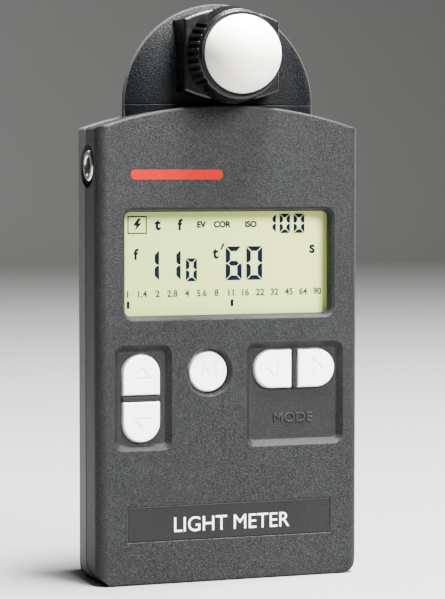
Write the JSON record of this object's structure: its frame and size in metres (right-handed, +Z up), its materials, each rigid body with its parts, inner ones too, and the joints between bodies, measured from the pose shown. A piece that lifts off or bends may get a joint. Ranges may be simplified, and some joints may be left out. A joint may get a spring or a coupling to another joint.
{
  "type": "handheld light meter",
  "caption": "Flat handheld exposure meter with a display, five white keys, a side flash-lead socket, and a swivelling half-round head that carries a white dome diffuser.",
  "frame": {"origin": "on the flat foot of the case, below the axis on which the head swivels", "axes": "+Z up through the head, along the case's length; +X to the right as seen from the front; the display and the keys face -Y"},
  "size_m": [0.0564, 0.0393, 0.117],
  "materials": {
    "case_plastic": "fine spark-eroded grain, charcoal",
    "head_plastic": "fine grain, charcoal, slightly glossier than the case",
    "gloss_black": "semi-gloss black",
    "key_white": "satin white",
    "opal_white": "opal, matte",
    "clear_window": "clear, polished",
    "lcd": "greenish beige reflective display",
    "frame_plastic": "moulded, white",
    "elastomer": "striped contact elastomer",
    "board_green": "solder-masked laminate",
    "chip_black": "moulded epoxy",
    "contact_metal": "plated spring metal",
    "screw_steel": "zinc plated",
    "brass": "turned",
    "bush_plastic": "self-lubricating polymer",
    "label": "thin printed plate",
    "battery_wrap": "plain printed sleeve",
    "filter_glass": "blue-green filter glass",
    "lead_plastic": "sleeved wires"
  },
  "bodies": {
    "case": {"front_cover": "case_plastic", "rear_cover": "case_plastic", "display_window": "clear_window", "lcd_glass": "lcd", "lcd_frame": "frame_plastic", "zebra_connectors": "elastomer", "main_board": "board_green", "board_chips": "chip_black", "sensor_connector": "frame_plastic", "snap_domes": "contact_metal", "board_screws": "screw_steel", "case_screws": "screw_steel", "name_plate": "label", "sync_socket_body": "gloss_black", "sync_socket_ring": "contact_metal", "sync_socket_insulator": "gloss_black", "sync_socket_contact": "brass", "battery_cell": "contact_metal", "battery_sleeve": "battery_wrap", "battery_spring": "contact_metal", "battery_plate": "contact_metal", "tripod_insert": "brass", "neck_collar": "head_plastic", "neck_bush": "bush_plastic", "friction_washer": "contact_metal"},
    "head": {"head_front_shell": "head_plastic", "head_rear_shell": "head_plastic", "head_screws": "screw_steel", "sensor_housing": "gloss_black", "sensor_window": "clear_window", "colour_filter": "filter_glass", "photodiode": "contact_metal", "sensor_board": "board_green", "head_connector": "frame_plastic", "swivel_post": "gloss_black", "post_clip": "contact_metal", "sensor_lead": "lead_plastic"},
    "diffuser": {"diffuser_ring": "gloss_black", "diffuser_dome": "opal_white"},
    "battery_cover": {"battery_door": "case_plastic"},
    "up_key": {"up_button": "key_white"},
    "down_key": {"down_button": "key_white"},
    "measure_key": {"measure_button": "key_white"},
    "left_key": {"left_button": "key_white"},
    "right_key": {"right_button": "key_white"}
  },
  "joints": [
    {"name": "head_swivel", "type": "hinge", "parent": "case", "child": "head", "pos_m": [0, 0, 0.0968], "axis": [0, 0, 1], "range_deg": [-180, 90]},
    {"name": "diffuser_twist", "type": "hinge", "parent": "head", "child": "diffuser", "pos_m": [0, -0.01, 0.1064], "axis": [0, 1, 0], "range_deg": [0, 45]},
    {"name": "battery_door_slide", "type": "slide", "parent": "case", "child": "battery_cover", "axis": [0, 0, -1], "range_m": [0, 0.06]},
    {"name": "up_press", "type": "slide", "parent": "case", "child": "up_key", "axis": [0, 1, 0], "range_m": [0, 0.0005], "stiffness_N_per_m": 1500, "springref_m": -0.0002},
    {"name": "down_press", "type": "slide", "parent": "case", "child": "down_key", "axis": [0, 1, 0], "range_m": [0, 0.0005], "stiffness_N_per_m": 1500, "springref_m": -0.0002},
    {"name": "measure_press", "type": "slide", "parent": "case", "child": "measure_key", "axis": [0, 1, 0], "range_m": [0, 0.0005], "stiffness_N_per_m": 1500, "springref_m": -0.0002},
    {"name": "left_press", "type": "slide", "parent": "case", "child": "left_key", "axis": [0, 1, 0], "range_m": [0, 0.0005], "stiffness_N_per_m": 1500, "springref_m": -0.0002},
    {"name": "right_press", "type": "slide", "parent": "case", "child": "right_key", "axis": [0, 1, 0], "range_m": [0, 0.0005], "stiffness_N_per_m": 1500, "springref_m": -0.0002}
  ]
}
